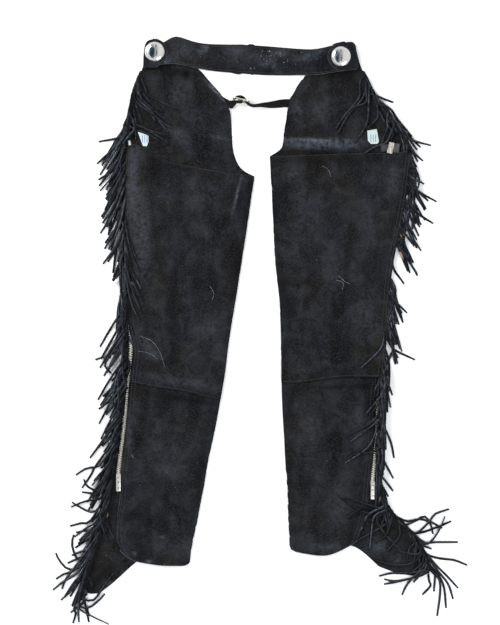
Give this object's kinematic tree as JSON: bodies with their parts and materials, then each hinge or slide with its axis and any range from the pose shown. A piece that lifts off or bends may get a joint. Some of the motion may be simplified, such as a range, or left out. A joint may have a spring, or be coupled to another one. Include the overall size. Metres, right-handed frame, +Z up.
{
  "type": "fringed suede chaps",
  "caption": "Black suede chaps laid flat, back side up, with domed hip buttons, outseam zips, a buckled front strap and long cut fringe.",
  "frame": {"origin": "on the floor, under the middle of the garment's footprint, fringe included", "axes": "+X to the right seen from above, +Y from the hems to the belt, +Z up from the floor"},
  "size_m": [0.7839, 1.118, 0.0221],
  "materials": {
    "suede": "napped black suede, matte with a dusty bloom",
    "metal": "polished silver-coloured metal with fine scratches",
    "zip_tape": "woven black tape",
    "label": "white woven satin, bare"
  },
  "bodies": {
    "garment": {"back_calf_left": "suede", "back_calf_right": "suede", "back_thigh_left": "suede", "back_thigh_right": "suede", "belt": "suede", "buckle_frame": "metal", "buckle_prong": "metal", "concho_left": "metal", "concho_right": "metal", "concho_screw_left": "metal", "concho_screw_right": "metal", "fringe_calf_left": "suede", "fringe_calf_right": "suede", "fringe_flap_left": "suede", "fringe_flap_right": "suede", "fringe_hem_left": "suede", "fringe_hem_right": "suede", "fringe_hip_left": "suede", "fringe_hip_right": "suede", "fringe_knee_left": "suede", "fringe_knee_right": "suede", "fringe_thigh_left": "suede", "fringe_thigh_right": "suede", "front_panel_left": "suede", "front_panel_right": "suede", "front_strap_left": "suede", "front_strap_right": "suede", "hip_tab_left": "suede", "hip_tab_right": "suede", "label_left": "label", "label_right": "label", "zip_chain_left": "metal", "zip_chain_right": "metal", "zip_slider_left": "metal", "zip_slider_right": "metal", "zip_tape_left": "zip_tape", "zip_tape_right": "zip_tape"},
    "pull_left": {"zip_pull_left": "metal"},
    "pull_right": {"zip_pull_right": "metal"}
  },
  "joints": [
    {"name": "pull_left_hinge", "type": "hinge", "parent": "garment", "child": "pull_left", "pos_m": [-0.26862, -0.274, 0.00736], "axis": [-1, 0, 0], "range_deg": [0, 170]},
    {"name": "pull_right_hinge", "type": "hinge", "parent": "garment", "child": "pull_right", "pos_m": [0.21406, -0.289, 0.00736], "axis": [-1, 0, 0], "range_deg": [0, 170]}
  ]
}
